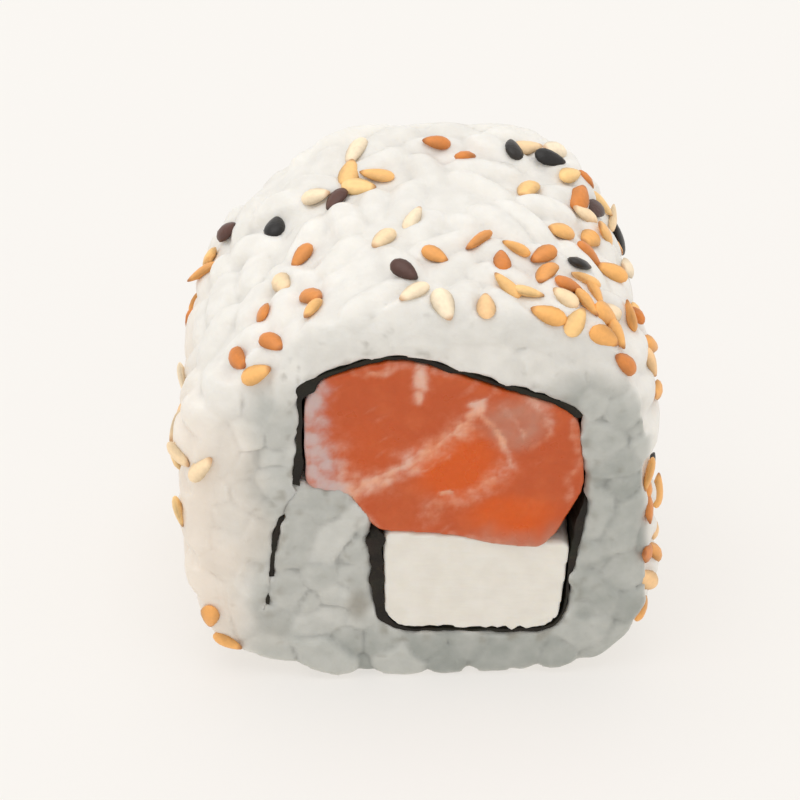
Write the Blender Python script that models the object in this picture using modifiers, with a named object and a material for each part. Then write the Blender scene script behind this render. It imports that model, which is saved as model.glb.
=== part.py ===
"""One piece of an uramaki roll, lying on its side on a small flat.

The roll's axis runs along Y, with a cut face at each end. From the outside in, it is a thick
ring of pressed rice, one sheet of seaweed (nori) rolled into a "6", and two fillings that run
right through: a slab of salmon on top and a block of cream cheese under it. The seaweed's outer
end is a tail that stays buried in the rice, left of the fillings.

Metres, +Z up. The origin is the middle of the box's base.
"""

import math

import bmesh
import bpy

MM = 0.001

# The roll
ROLL_LENGTH = 28.6 * MM
LEFT_HALF = 19.8 * MM  # from the axis to the left flank, at its widest
RIGHT_HALF = 17.3 * MM
TOP_HALF = 17.5 * MM
BASE_HALF = 17.2 * MM
AXIS_HEIGHT = 16.8 * MM  # under BASE_HALF, so that the roll's own weight presses a flat
HEEL_LIFT = 1.5 * MM  # how far the lower left edge stays off the ground
HEEL_START = -4.5 * MM
HEEL_END = -13.0 * MM

# How the rim rounds over into each cut face: how far in, and over what length
RIM_LENGTH = 6.0 * MM
RIM_LEFT = 2.6 * MM
RIM_RIGHT = 1.5 * MM
RIM_TOP = 0.9 * MM
RIM_BASE = 0.6 * MM

# The roll narrows towards its back end: by this share of its width, and from where on
TAPER = 0.075
TAPER_START = -9.0 * MM

# The section is a rounded square. A larger power makes a squarer corner.
CORNER_POWERS = {45: 2.9, 135: 2.05, 225: 6.0, 315: 5.2}

# Hand-pressed unevenness: how high, waves round the section, waves along it, and phase
WAVES = (
    (0.22 * MM, 5, 1.0, 0.6),
    (0.16 * MM, 9, -1.5, 2.1),
    (0.12 * MM, 14, 2.5, 4.0),
)
AROUND = 108
ALONG = (0.0, 0.3, 0.9, 1.8, 3.0, 4.5, 6.5, 9.0, 11.5)  # ring distances from a cut face, in mm

# The seaweed, and the gap that neighbours keep
NORI_THICKNESS = 0.5 * MM
GAP = 0.3 * MM
ARC_STEP = math.radians(15)

# Corners of the fillings on the cut face: (across, up, corner radius), in mm.
# Across is from the roll's axis, up is from the ground.
SALMON = (
    (-9.8, 26.9, 3.0),
    (-3.0, 29.3, 6.0),
    (10.5, 24.0, 2.4),
    (11.1, 17.5, 5.0),
    (8.6, 12.75, 1.6),
    (-4.5, 14.1, 1.4),
    (-6.4, 17.2, 1.0),
    (-9.7, 18.1, 1.0),
)
CHEESE = (
    (-3.9, 13.6, 0.7),
    (10.1, 12.15, 0.7),
    (9.2, 4.6, 1.7),
    (-3.8, 5.0, 1.9),
)
# The buried tail, from its free end up to where the seaweed meets the salmon
TAIL = ((-13.0, 6.8, 0.0), (-12.3, 13.4, 9.0), (-10.45, 19.6, 6.0))


def remove_everything():
    for item in list(bpy.data.objects):
        bpy.data.objects.remove(item, do_unlink=True)


def new_collection(name):
    collection = bpy.data.collections.new(name)
    bpy.context.scene.collection.children.link(collection)
    return collection


def material(name, colour, roughness):
    """A plain food surface of one colour."""
    made = bpy.data.materials.new(name)
    made.use_nodes = True
    shader = made.node_tree.nodes["Principled BSDF"]
    shader.inputs["Base Color"].default_value = (*colour, 1.0)
    shader.inputs["Roughness"].default_value = roughness
    shader.inputs["Metallic"].default_value = 0.0
    return made


# ---------------------------------------------------------------- outlines on the cut face


def grown(corners, distances):
    """The outline with each side moved outwards. Side i runs from corner i to the next one."""
    count = len(corners)
    moved = []
    for i in range(count):
        ax, az, _ = corners[i - 1]
        bx, bz, radius = corners[i]
        cx, cz, _ = corners[(i + 1) % count]
        before = distances[i - 1]
        after = distances[i]
        ux, uz = bx - ax, bz - az
        vx, vz = cx - bx, cz - bz
        lu = math.hypot(ux, uz)
        lv = math.hypot(vx, vz)
        ux, uz = ux / lu, uz / lu
        vx, vz = vx / lv, vz / lv
        # outlines run clockwise, so outwards is to the left of the way along them
        turn = ux * vz - uz * vx
        px, pz = bx - uz * before, bz + ux * before
        qx, qz = bx - vz * after, bz + vx * after
        along = ((qx - px) * vz - (qz - pz) * vx) / turn
        outer = turn < 0
        wider = radius + min(before, after) if outer else max(radius - max(before, after), 0.3)
        moved.append((px + ux * along, pz + uz * along, wider))
    return moved


def arc(before, corner, after, radius):
    """Points of the arc that rounds one corner."""
    bx, bz = corner
    ux, uz = before[0] - bx, before[1] - bz
    vx, vz = after[0] - bx, after[1] - bz
    lu = math.hypot(ux, uz)
    lv = math.hypot(vx, vz)
    ux, uz, vx, vz = ux / lu, uz / lu, vx / lv, vz / lv
    half = math.acos(max(-1.0, min(1.0, ux * vx + uz * vz))) / 2
    reach = min(radius / math.tan(half), 0.49 * lu, 0.49 * lv)
    radius = reach * math.tan(half)
    mx, mz = ux + vx, uz + vz
    lm = math.hypot(mx, mz)
    centre_x = bx + mx / lm * radius / math.sin(half)
    centre_z = bz + mz / lm * radius / math.sin(half)
    start = math.atan2(bz + uz * reach - centre_z, bx + ux * reach - centre_x)
    end = math.atan2(bz + vz * reach - centre_z, bx + vx * reach - centre_x)
    sweep = (end - start + math.pi) % (2 * math.pi) - math.pi
    steps = max(2, math.ceil(abs(sweep) / ARC_STEP))
    return [
        (
            centre_x + radius * math.cos(start + sweep * k / steps),
            centre_z + radius * math.sin(start + sweep * k / steps),
        )
        for k in range(steps + 1)
    ]


def rounded(corners, closed=True):
    """Points along an outline or a route whose corners are rounded by arcs, in metres."""
    points = []
    last = len(corners) - 1
    for i, (x, z, radius) in enumerate(corners):
        if not closed and i in (0, last):
            points.append((x, z))
            continue
        before = corners[i - 1][:2]
        after = corners[(i + 1) % len(corners)][:2]
        points.extend(arc(before, (x, z), after, radius))
    return [(x * MM, z * MM) for x, z in points]


def wrap_corners():
    """The outline that the seaweed is drawn tight around: salmon above, cheese below."""
    upper = SALMON[:4]
    lower = (CHEESE[1], CHEESE[2], CHEESE[3], CHEESE[0])
    inner_notch = (SALMON[6], SALMON[7])
    return [*upper, *lower, *inner_notch]


def even_gap(distance, open_side):
    """The same distance for every side, and another for the side where no seaweed runs."""
    sides = len(wrap_corners())
    distances = [distance] * sides
    distances[sides - 2] = open_side
    return distances


# ---------------------------------------------------------------- solids


def extruded(name, points, length, collection):
    """A flat outline in the XZ plane, extruded along Y to both sides of it."""
    curve = bpy.data.curves.new(name, "CURVE")
    curve.dimensions = "2D"
    curve.fill_mode = "BOTH"
    curve.extrude = length / 2
    spline = curve.splines.new("POLY")
    spline.points.add(len(points) - 1)
    for point, (x, z) in zip(spline.points, points):
        point.co = (x, z, 0, 1)
    spline.use_cyclic_u = True
    item = bpy.data.objects.new(name, curve)
    item.rotation_euler = (math.pi / 2, 0, 0)
    collection.objects.link(item)
    return item


def as_mesh(item, collection):
    """The same shape as a mesh, welded, so that it can cut another."""
    bpy.context.view_layer.update()
    graph = bpy.context.evaluated_depsgraph_get()
    mesh = bpy.data.meshes.new_from_object(item.evaluated_get(graph))
    shell = bmesh.new()
    shell.from_mesh(mesh)
    bmesh.ops.remove_doubles(shell, verts=shell.verts, dist=1e-6)
    bmesh.ops.recalc_face_normals(shell, faces=shell.faces)
    shell.to_mesh(mesh)
    shell.free()
    made = bpy.data.objects.new(item.name + "_mesh", mesh)
    made.matrix_world = item.matrix_world.copy()
    bpy.data.objects.remove(item, do_unlink=True)
    collection.objects.link(made)
    return made


def strip(name, route, length, thickness, collection):
    """A sheet that follows a route on the cut face: an open surface with Solidify."""
    sheet = bmesh.new()
    near = [sheet.verts.new((x, -length / 2, z)) for x, z in route]
    far = [sheet.verts.new((x, length / 2, z)) for x, z in route]
    for i in range(len(route) - 1):
        sheet.faces.new((near[i], near[i + 1], far[i + 1], far[i]))
    mesh = bpy.data.meshes.new(name)
    sheet.to_mesh(mesh)
    sheet.free()
    item = bpy.data.objects.new(name, mesh)
    collection.objects.link(item)
    wall = item.modifiers.new("thickness", "SOLIDIFY")
    wall.thickness = thickness
    wall.offset = 0
    wall.use_even_offset = True
    return item


def corner_power(angle):
    """The rounded square's power at this angle, blended between its four corners."""
    total = 0.0
    for degrees, power in CORNER_POWERS.items():
        total += power * max(0.0, math.cos(angle - math.radians(degrees))) ** 2
    return total


def rim(distance):
    """How far the rim is turned in, from 1 on the cut face to 0 where the flank begins."""
    left = 1 - min(distance / RIM_LENGTH, 1.0)
    return 1 - math.sqrt(1 - left * left)


def heel(x):
    """Height of the ground line under the lower left edge, which stays off the ground."""
    share = (x - HEEL_START) / (HEEL_END - HEEL_START)
    share = max(0.0, min(share, 1.0))
    return HEEL_LIFT * share * share * (3 - 2 * share)


def section_point(angle, y):
    """A point of the rice's outer surface: a rounded square, pressed uneven, flat below."""
    turned_in = rim(ROLL_LENGTH / 2 - abs(y))
    across, up = math.cos(angle), math.sin(angle)
    back = max(0.0, (y - TAPER_START) / (ROLL_LENGTH / 2 - TAPER_START))
    kept = 1 - TAPER * back * (2 - back)
    if across > 0:
        half_width = RIGHT_HALF * kept - RIM_RIGHT * turned_in
    else:
        half_width = LEFT_HALF * kept - RIM_LEFT * turned_in
    if up > 0:
        half_height = TOP_HALF - RIM_TOP * turned_in
    else:
        half_height = BASE_HALF - RIM_BASE * turned_in
    power = corner_power(angle)
    inverse = (abs(across) / half_width) ** power + (abs(up) / half_height) ** power
    radius = inverse ** (-1 / power)
    for height, around, along, phase in WAVES:
        radius += height * math.sin(around * angle + along * math.tau * y / ROLL_LENGTH + phase)
    x = radius * across
    z = AXIS_HEIGHT + radius * up
    return x, y, max(z, heel(x))


def rice_blank(collection):
    """The rice before its channel is cut: rings of the section, lofted from face to face."""
    half = ROLL_LENGTH / 2
    front = [-half + d * MM for d in ALONG]
    stations = front + [0.0] + [-y for y in reversed(front)]
    loft = bmesh.new()
    rings = []
    for y in stations:
        ring = [loft.verts.new(section_point(math.tau * k / AROUND, y)) for k in range(AROUND)]
        rings.append(ring)
    for a, b in zip(rings, rings[1:]):
        for k in range(AROUND):
            n = (k + 1) % AROUND
            loft.faces.new((a[k], a[n], b[n], b[k]))
    loft.faces.new(rings[0])
    loft.faces.new(rings[-1])
    bmesh.ops.recalc_face_normals(loft, faces=loft.faces)
    mesh = bpy.data.meshes.new("rice")
    loft.to_mesh(mesh)
    loft.free()
    item = bpy.data.objects.new("rice", mesh)
    collection.objects.link(item)
    return item


def cut(item, cutter):
    """Take the cutter's shape out of a piece, and hide the cutter."""
    cutter.hide_render = True
    cutter.display_type = "WIRE"
    hole = item.modifiers.new("cut_" + cutter.name, "BOOLEAN")
    hole.operation = "DIFFERENCE"
    hole.solver = "EXACT"
    hole.object = cutter


def finish(item, made_material):
    """Give a piece its material, and shade its round stretches smooth."""
    item.data.materials.append(made_material)
    if item.type == "MESH":
        item.data.shade_smooth()
        item.data.set_sharp_from_angle(angle=math.radians(35))


def stand_on_origin(pieces, rice):
    """Move the pieces together, so that the origin is the middle of the rice's base."""
    across = [vertex.co.x for vertex in rice.data.vertices]
    lowest = min(vertex.co.z for vertex in rice.data.vertices)
    middle = (min(across) + max(across)) / 2
    for piece in pieces:
        piece.location.x -= middle
        piece.location.z -= lowest


def build():
    remove_everything()
    parts = new_collection("uramaki_roll")
    cutters = new_collection("cutters")
    nori_mm = NORI_THICKNESS / MM
    gap_mm = GAP / MM

    # the two fillings
    salmon = extruded("salmon", rounded(SALMON), ROLL_LENGTH, parts)
    cheese = extruded("cream_cheese", rounded(CHEESE), ROLL_LENGTH, parts)

    # the seaweed: its tail, then once around the fillings
    wrap = grown(wrap_corners(), even_gap(gap_mm + nori_mm / 2, gap_mm))
    route = rounded([*TAIL, *wrap[:-1]], closed=False)
    nori = strip("nori", route, ROLL_LENGTH, NORI_THICKNESS, parts)

    # the rice, with a channel for the fillings and a slot for the seaweed's tail
    rice = rice_blank(parts)
    channel = rounded(grown(wrap_corners(), even_gap(nori_mm + 2 * gap_mm, gap_mm)))
    longer = ROLL_LENGTH + 4 * MM
    cut(rice, as_mesh(extruded("channel", channel, longer, cutters), cutters))
    end_x, end_z, _ = TAIL[0]
    join_x, join_z, _ = TAIL[-1]
    inside_channel = (join_x, (join_z + wrap[0][1]) / 2, 0.0)
    slot_route = rounded([(end_x, end_z - gap_mm, 0.0), *TAIL[1:], inside_channel], closed=False)
    cut(rice, strip("tail_slot", slot_route, longer, NORI_THICKNESS + 2 * GAP, cutters))

    finish(rice, material("rice", (0.80, 0.78, 0.71), 0.45))
    finish(nori, material("nori", (0.012, 0.014, 0.010), 0.40))
    finish(salmon, material("salmon", (0.62, 0.15, 0.045), 0.32))
    finish(cheese, material("cream_cheese", (0.84, 0.80, 0.70), 0.42))
    stand_on_origin([rice, nori, salmon, cheese, *cutters.objects], rice)


build()
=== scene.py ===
# %% [markdown]
# # One piece of an uramaki roll
# An uramaki is a sushi roll with its rice outside. The cook presses rice on a sheet of seaweed
# (nori), turns the sheet over, lays salmon and cream cheese on its bare side, and rolls it up.
# Toasted sesame seeds stick to the rice, and a knife cuts the long roll into pieces, so that each
# piece shows the same section at both ends.
#
# The model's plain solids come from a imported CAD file, the frame. This script keeps their places
# and makes what the eye wants to see: grains, flakes, fat, seaweed, seeds and light.

# %% Load the frame
import math

import bmesh
import bpy
import numpy as np
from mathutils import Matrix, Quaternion, Vector, noise
from mathutils.bvhtree import BVHTree


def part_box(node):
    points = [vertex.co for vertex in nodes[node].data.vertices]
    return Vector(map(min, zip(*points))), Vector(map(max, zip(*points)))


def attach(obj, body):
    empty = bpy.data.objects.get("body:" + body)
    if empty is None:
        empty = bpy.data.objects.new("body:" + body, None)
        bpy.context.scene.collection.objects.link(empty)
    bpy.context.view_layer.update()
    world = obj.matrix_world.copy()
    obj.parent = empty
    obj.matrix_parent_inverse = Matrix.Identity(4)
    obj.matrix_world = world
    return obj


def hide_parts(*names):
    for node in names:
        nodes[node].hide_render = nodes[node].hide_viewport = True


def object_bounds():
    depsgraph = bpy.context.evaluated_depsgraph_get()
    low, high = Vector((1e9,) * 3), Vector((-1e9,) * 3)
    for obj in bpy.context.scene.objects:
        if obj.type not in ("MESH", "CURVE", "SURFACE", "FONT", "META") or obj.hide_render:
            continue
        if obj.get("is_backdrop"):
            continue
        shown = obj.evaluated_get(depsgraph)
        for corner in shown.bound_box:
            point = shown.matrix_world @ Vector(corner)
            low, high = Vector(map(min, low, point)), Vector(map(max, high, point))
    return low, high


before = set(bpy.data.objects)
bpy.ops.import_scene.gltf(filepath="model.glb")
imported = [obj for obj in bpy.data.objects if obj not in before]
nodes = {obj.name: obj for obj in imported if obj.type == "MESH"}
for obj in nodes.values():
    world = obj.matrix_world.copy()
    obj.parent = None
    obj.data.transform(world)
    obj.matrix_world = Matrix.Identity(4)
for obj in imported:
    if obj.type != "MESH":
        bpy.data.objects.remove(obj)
cad_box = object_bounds()
MM = 0.001
print("nodes:", sorted(nodes))

# %% [markdown]
# ## Where things are
# The CAD boxes give the roll's half length, and the cheese's left side tells where the roll's
# axis is. The axis's height is the CAD's own number. The roll lies along Y, and its front cut
# face looks towards minus Y. Places on the cut face are measured in millimetres, across from
# FACE_ZERO and up from the floor.

# %% Measure the roll
rice_low = np.array(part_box("rice")[0])
rice_high = np.array(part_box("rice")[1])
HALF = float(rice_high[1])
AXIS_UP = 16.8 * MM
CHEESE_TO_AXIS = 3.9 * MM
ZERO_TO_AXIS = 0.64 * MM
ACROSS = float(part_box("cream_cheese")[0][0]) + CHEESE_TO_AXIS  # x of the roll's axis
FACE_ZERO = ACROSS - ZERO_TO_AXIS
print("roll, mm:", ((rice_high - rice_low) / MM).round(1))

# %% [markdown]
# ## Camera
# A long lens from half a metre away keeps the perspective flat, as in a catalogue. It looks down
# by 33.5 degrees, and from slightly left, so that the cut face, the top and a sliver of the left
# flank show.

# %% Set the camera
CAMERA_TURN = math.radians(-2)
CAMERA_RISE = math.radians(33.5)
CAMERA_DISTANCE = 520 * MM
FOCAL_LENGTH = 300
AIM_LEFT = 2.3 * MM
AIM_UNDER = 0.5 * MM

away = Vector(
    (
        math.sin(CAMERA_TURN) * math.cos(CAMERA_RISE),
        -math.cos(CAMERA_TURN) * math.cos(CAMERA_RISE),
        math.sin(CAMERA_RISE),
    )
)
target = Vector((ACROSS - AIM_LEFT, 0, AXIS_UP - AIM_UNDER))
lens = bpy.data.cameras.new("camera")
lens.lens = FOCAL_LENGTH
lens.clip_start = 0.01
lens.clip_end = 20
camera = bpy.data.objects.new("camera", lens)
camera.location = target + away * CAMERA_DISTANCE
camera.rotation_euler = (-away).to_track_quat("-Z", "Y").to_euler()
bpy.context.scene.collection.objects.link(camera)
bpy.context.scene.camera = camera
print("camera at", [round(v, 3) for v in camera.location])

# %% [markdown]
# ## Floor and light
# White food on a white table is lit by a tent: light comes from all sides, a little more from
# above. The sky (the World) gives the even part, and one wide lamp above and behind gives the
# top its brightness and the soft shadow in front. The Standard view keeps white rice white, where
# a film-like view would turn it grey.

# %% Light the table
SKY_COLOUR = (1.0, 0.995, 0.985, 1)
SKY_STRENGTH = 0.875
LAMP_WATTS = 5.4
LAMP_WIDTH = 1.3
LAMP_PLACE = (-0.2, 0.0, 1.3)

scene = bpy.context.scene
scene.view_settings.view_transform = "Standard"
world = bpy.data.worlds.new("tent")
world.use_nodes = True
sky = world.node_tree.nodes["Background"]
sky.inputs["Color"].default_value = SKY_COLOUR
sky.inputs["Strength"].default_value = SKY_STRENGTH
scene.world = world

lamp_data = bpy.data.lights.new("overhead", "AREA")
lamp_data.size = LAMP_WIDTH
lamp_data.energy = LAMP_WATTS
lamp = bpy.data.objects.new("overhead", lamp_data)
lamp.location = LAMP_PLACE
lamp.rotation_euler = (-lamp.location).to_track_quat("-Z", "Y").to_euler()
scene.collection.objects.link(lamp)

# %% [markdown]
# ## Small tools for nodes
# A material and a Geometry Nodes recipe are both trees of nodes. `Tree.node` adds any node: its
# settings first, then the values or links of its sockets. `Wire` stands for one output and knows
# the usual operators, so `1 - mask * 0.3` adds the Math nodes by itself.

# %% Wires and trees
class Wire:
    """One output of a node, which can be used in sums."""

    def __init__(self, tree, socket):
        self.tree = tree
        self.socket = socket

    def sum(self, operation, first, second):
        return self.tree.node("ShaderNodeMath", {"operation": operation}, {0: first, 1: second})

    def __add__(self, other):
        return self.sum("ADD", self, other)

    def __radd__(self, other):
        return self.sum("ADD", other, self)

    def __sub__(self, other):
        return self.sum("SUBTRACT", self, other)

    def __rsub__(self, other):
        return self.sum("SUBTRACT", other, self)

    def __mul__(self, other):
        return self.sum("MULTIPLY", self, other)

    def __rmul__(self, other):
        return self.sum("MULTIPLY", other, self)

    def __truediv__(self, other):
        return self.sum("DIVIDE", self, other)

    def __rtruediv__(self, other):
        return self.sum("DIVIDE", other, self)

    def step(self, low, high):
        """0 below low, 1 above high, and a smooth ramp between them."""
        settings = {"interpolation_type": "SMOOTHSTEP"}
        return self.tree.node("ShaderNodeMapRange", settings, {0: self, 1: low, 2: high})


class Tree:
    """Adds nodes to a node tree."""

    def __init__(self, tree):
        self.tree = tree

    def node(self, kind, settings=None, inputs=None, output=0):
        made = self.tree.nodes.new(kind)
        for name, value in (settings or {}).items():
            setattr(made, name, value)
        for key, value in (inputs or {}).items():
            self.feed(made.inputs[key], value)
        return Wire(self, made.outputs[output])

    def feed(self, socket, value):
        if isinstance(value, Wire):
            self.tree.links.new(value.socket, socket)
        else:
            socket.default_value = value


# %% [markdown]
# ## Small tools for finishes
# Each food gets a `Finish`: one Principled shader, whose constant values are set once, and whose
# changing values (colour, roughness, bump) are worked out by nodes. Patterns read Object
# coordinates, so they have the same size everywhere, or an attribute that was painted on the
# mesh in code. Subsurface scattering lets light enter the surface and come out beside where it
# went in, which is what makes rice, fish and cheese look moist and not like plaster.

# %% Finishes
class Finish(Tree):
    """A material around one Principled shader."""

    def __init__(self, name, **constants):
        self.material = bpy.data.materials.new(name)
        self.material.use_nodes = True
        super().__init__(self.material.node_tree)
        self.shader = self.tree.nodes["Principled BSDF"]
        for key, value in constants.items():
            label = key.replace("_", " ").title().replace("Ior", "IOR")
            self.shader.inputs[label].default_value = value
        self.place = self.node("ShaderNodeTexCoord", {}, {}, "Object")

    def set(self, name, value):
        self.feed(self.shader.inputs[name], value)

    def attribute(self, name):
        return self.node("ShaderNodeAttribute", {"attribute_name": name}, {}, "Fac")

    def cloud(self, size, detail=3.0, roughness=0.5, place=None):
        """Soft noise from 0 to 1, whose blotches are about this size in metres."""
        inputs = {"Vector": place or self.place, "Scale": 1 / size}
        inputs.update({"Detail": detail, "Roughness": roughness})
        return self.node("ShaderNodeTexNoise", {}, inputs)

    def stretched(self, x, y, z):
        """The place on the piece, with the pattern stretched by these factors."""
        inputs = {"Vector": self.place, "Scale": (1 / x, 1 / y, 1 / z)}
        return self.node("ShaderNodeMapping", {}, inputs)

    def colour(self, share, first, second, way="MIX"):
        """first where share is 0, second where it is 1."""
        settings = {"data_type": "RGBA", "blend_type": way}
        return self.node("ShaderNodeMix", settings, {0: share, 6: first, 7: second}, 2)

    def dim(self, colour, share):
        """The colour times a grey of this value."""
        grey = self.node("ShaderNodeCombineColor", {}, {0: share, 1: share, 2: share})
        return self.colour(1.0, colour, grey, "MULTIPLY")

    def bump(self, height, depth):
        """Relief of this depth in metres."""
        inputs = {"Height": height, "Distance": depth, "Strength": 1.0}
        return self.node("ShaderNodeBump", {}, inputs)


def rgb(red, green, blue):
    return (red, green, blue, 1.0)


# %% [markdown]
# The floor is one plain sheet that glows a little, as a table inside a light tent seems to, so
# that it stays as pale as the sky behind it and still takes the roll's soft shadow.

# %% The floor
FLOOR_HALF = 4.0

floor_mesh = bpy.data.meshes.new("floor")
floor_corners = [(x * FLOOR_HALF, y * FLOOR_HALF, 0) for x, y in ((-1, -1), (1, -1), (1, 1), (-1, 1))]
floor_mesh.from_pydata(floor_corners, [], [(0, 1, 2, 3)])
floor = bpy.data.objects.new("floor", floor_mesh)
scene.collection.objects.link(floor)
floor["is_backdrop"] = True
table_top = Finish("table_top", roughness=0.7)
table_top.set("Base Color", rgb(0.35, 0.338, 0.322))
table_top.set("Emission Color", rgb(0.545, 0.53, 0.51))
table_top.set("Emission Strength", 1.0)
floor_mesh.materials.append(table_top.material)
print("floor at height", floor_mesh.vertices[0].co.z)

# %% [markdown]
# ## Meshes as arrays
# Sculpting in code means moving many points at once. These helpers read a mesh's points and
# normals into numpy arrays and write them back.

# %% Read and write points
def points_of(mesh):
    flat = np.empty(len(mesh.vertices) * 3)
    mesh.vertices.foreach_get("co", flat)
    return flat.reshape(-1, 3)


def normals_of(mesh):
    flat = np.empty(len(mesh.vertices) * 3)
    mesh.vertex_normals.foreach_get("vector", flat)
    return flat.reshape(-1, 3)


def edges_of(mesh):
    flat = np.empty(len(mesh.edges) * 2, dtype=np.int32)
    mesh.edges.foreach_get("vertices", flat)
    return flat.reshape(-1, 2)


def move_points(mesh, points):
    mesh.vertices.foreach_set("co", points.reshape(-1))
    mesh.update()


def triangle_count(mesh):
    return sum(len(face.vertices) - 2 for face in mesh.polygons)


def paint(mesh, name, values):
    """Store one number per point, for a material to read."""
    layer = mesh.attributes.new(name, "FLOAT", "POINT")
    layer.data.foreach_set("value", np.asarray(values, dtype=np.float32))


# %% [markdown]
# A CAD node's mesh is loose triangles, so it is copied and its doubled points are merged before
# anything is done with it. `rebuilt` runs one object's modifiers and returns the plain mesh.

# %% Merge, copy and remesh
def merged_shell(node):
    """The CAD node's mesh with its doubled points merged, open for editing."""
    shell = bmesh.new()
    shell.from_mesh(nodes[node].data)
    bmesh.ops.remove_doubles(shell, verts=shell.verts, dist=1e-6)
    return shell


def merged_copy(node):
    """The merged mesh in a new object."""
    shell = merged_shell(node)
    mesh = bpy.data.meshes.new(node + "_merged")
    shell.to_mesh(mesh)
    shell.free()
    copy = bpy.data.objects.new(node + "_merged", mesh)
    scene.collection.objects.link(copy)
    return copy


def rebuilt(item):
    """The plain mesh that the object's modifiers give, and the object is thrown away."""
    graph = bpy.context.evaluated_depsgraph_get()
    mesh = bpy.data.meshes.new_from_object(item.evaluated_get(graph))
    bpy.data.objects.remove(item, do_unlink=True)
    return mesh


def even_skin(item, voxel, smoothing=0):
    """Remesh modifier: small even squares all over, which also fuses what overlaps."""
    skin = item.modifiers.new("even_skin", "REMESH")
    skin.mode = "VOXEL"
    skin.voxel_size = voxel
    if smoothing:
        soften = item.modifiers.new("soften", "SMOOTH")
        soften.iterations = smoothing
    return rebuilt(item)


# %% Numbers over a mesh
def averaged(values, edges, rounds, count):
    """Each point's value mixed with its neighbours', a few times over."""
    ends = np.concatenate([edges[:, 0], edges[:, 1]])
    others = np.concatenate([edges[:, 1], edges[:, 0]])
    share = 1 / np.maximum(np.bincount(ends, minlength=count), 1)
    columns = values.reshape(count, -1)
    for _ in range(rounds):
        near = [np.bincount(ends, columns[others, k], count) for k in range(columns.shape[1])]
        columns = 0.5 * columns + 0.5 * np.stack(near, 1) * share[:, None]
    return columns.reshape(values.shape)


def ramp(values, low, high):
    """0 below low, 1 above high, smooth between them."""
    share = np.clip((values - low) / (high - low), 0, 1)
    return share * share * (3 - 2 * share)


def wander(points, size, shift=0.0):
    """Perlin noise from about -1 to 1, whose waves are about this size."""
    move = Vector((shift, shift * 0.7, -shift))
    return np.array([noise.noise(Vector(p) / size + move) for p in points])


def on_section(points):
    """Across from FACE_ZERO and up from the floor, in mm."""
    return (points[:, 0] - FACE_ZERO) / MM, points[:, 2] / MM


def spot(x, z, across, up, size):
    """A round hill of this size, 1 at its top, on the section."""
    return np.exp(-((x - across) ** 2 + (z - up) ** 2) / size**2)


# %% [markdown]
# ## Outlines from the frame
# The wrap, the channel in the rice and the roll's outside are all outlines in the XZ plane. A
# bisect of a CAD node gives them: it cuts the mesh with a plane across the roll, and the cut's
# edges are chained into closed loops. From a loop, `to_outline` tells how far any point is.

# %% Cut outlines
def chained(edges):
    """Closed loops of points, the largest first, from loose edges."""
    near = {}
    for edge in edges:
        for a, b in (edge.verts, reversed(edge.verts)):
            near.setdefault(a, []).append(b)
    loops = []
    left = set(near)
    while left:
        corner = left.pop()
        loop = [corner]
        while corner:
            corner = next((v for v in near[corner] if v in left), None)
            if corner:
                left.discard(corner)
                loop.append(corner)
        loops.append(np.array([(v.co.x, v.co.z) for v in loop]))
    return sorted(loops, key=lambda loop: np.ptp(loop[:, 0]) * np.ptp(loop[:, 1]), reverse=True)


def outlines(node, y):
    """The closed loops where a plane at y cuts a CAD node, the largest first."""
    shell = merged_shell(node)
    parts = shell.verts[:] + shell.edges[:] + shell.faces[:]
    cut = bmesh.ops.bisect_plane(
        shell, geom=parts, dist=1e-7, plane_co=(0, y, 0), plane_no=(0, 1, 0)
    )
    loops = chained([part for part in cut["geom_cut"] if isinstance(part, bmesh.types.BMEdge)])
    shell.free()
    return loops


MIDDLE_CUT = 0.3 * MM  # just off the middle, where no row of CAD points lies
channel = outlines("rice", MIDDLE_CUT)[1]
print("channel outline:", len(channel), "points")


# %% Distance to an outline
def to_outline(points, loop):
    """The nearest points on a closed loop, and the distances, which are negative inside it."""
    ends = np.roll(loop, -1, axis=0)
    sides = ends - loop
    nearest = np.empty_like(points)
    distance = np.empty(len(points))
    for start in range(0, len(points), 8000):
        some = points[start : start + 8000]
        reach = some[:, None] - loop
        share = np.clip((reach * sides).sum(-1) / (sides * sides).sum(-1), 0, 1)
        spots = loop + share[..., None] * sides
        squares = ((some[:, None] - spots) ** 2).sum(-1)
        best = squares.argmin(1)
        rows = np.arange(len(some))
        x, z = some[:, 0, None], some[:, 1, None]
        spans = (loop[:, 1] > z) != (ends[:, 1] > z)
        slope = sides[:, 0] / np.where(sides[:, 1] == 0, 1e-12, sides[:, 1])
        inside = (spans & (x < loop[:, 0] + (z - loop[:, 1]) * slope)).sum(1) % 2 == 1
        nearest[start : start + 8000] = spots[rows, best]
        distance[start : start + 8000] = np.sqrt(squares[rows, best]) * np.where(inside, -1, 1)
    return nearest, distance


# %% [markdown]
# The outside of the rice changes along the roll, because the rim rounds over into each cut face.
# So its outline is cut at fifteen stations, each is stored as a radius at every second degree,
# and a place between them is blended from its four neighbours.

# %% The rice's outside as a table of radii
STATIONS = np.linspace(-HALF + 0.02 * MM, HALF - 0.02 * MM, 15)
SPOKES = 180
SLANT = 0.94  # the wall is a little nearer than it is along the spoke, which meets it aslant


def spokes(loop):
    """The radius of an outline at each spoke."""
    x = loop[:, 0] - ACROSS
    z = loop[:, 1] - AXIS_UP
    angle = np.arctan2(z, x) % math.tau
    order = angle.argsort()
    steps = np.arange(SPOKES) * math.tau / SPOKES
    return np.interp(steps, angle[order], np.hypot(x, z)[order], period=math.tau)


RADII = np.array([spokes(outlines("rice", y)[0]) for y in STATIONS])


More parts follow.
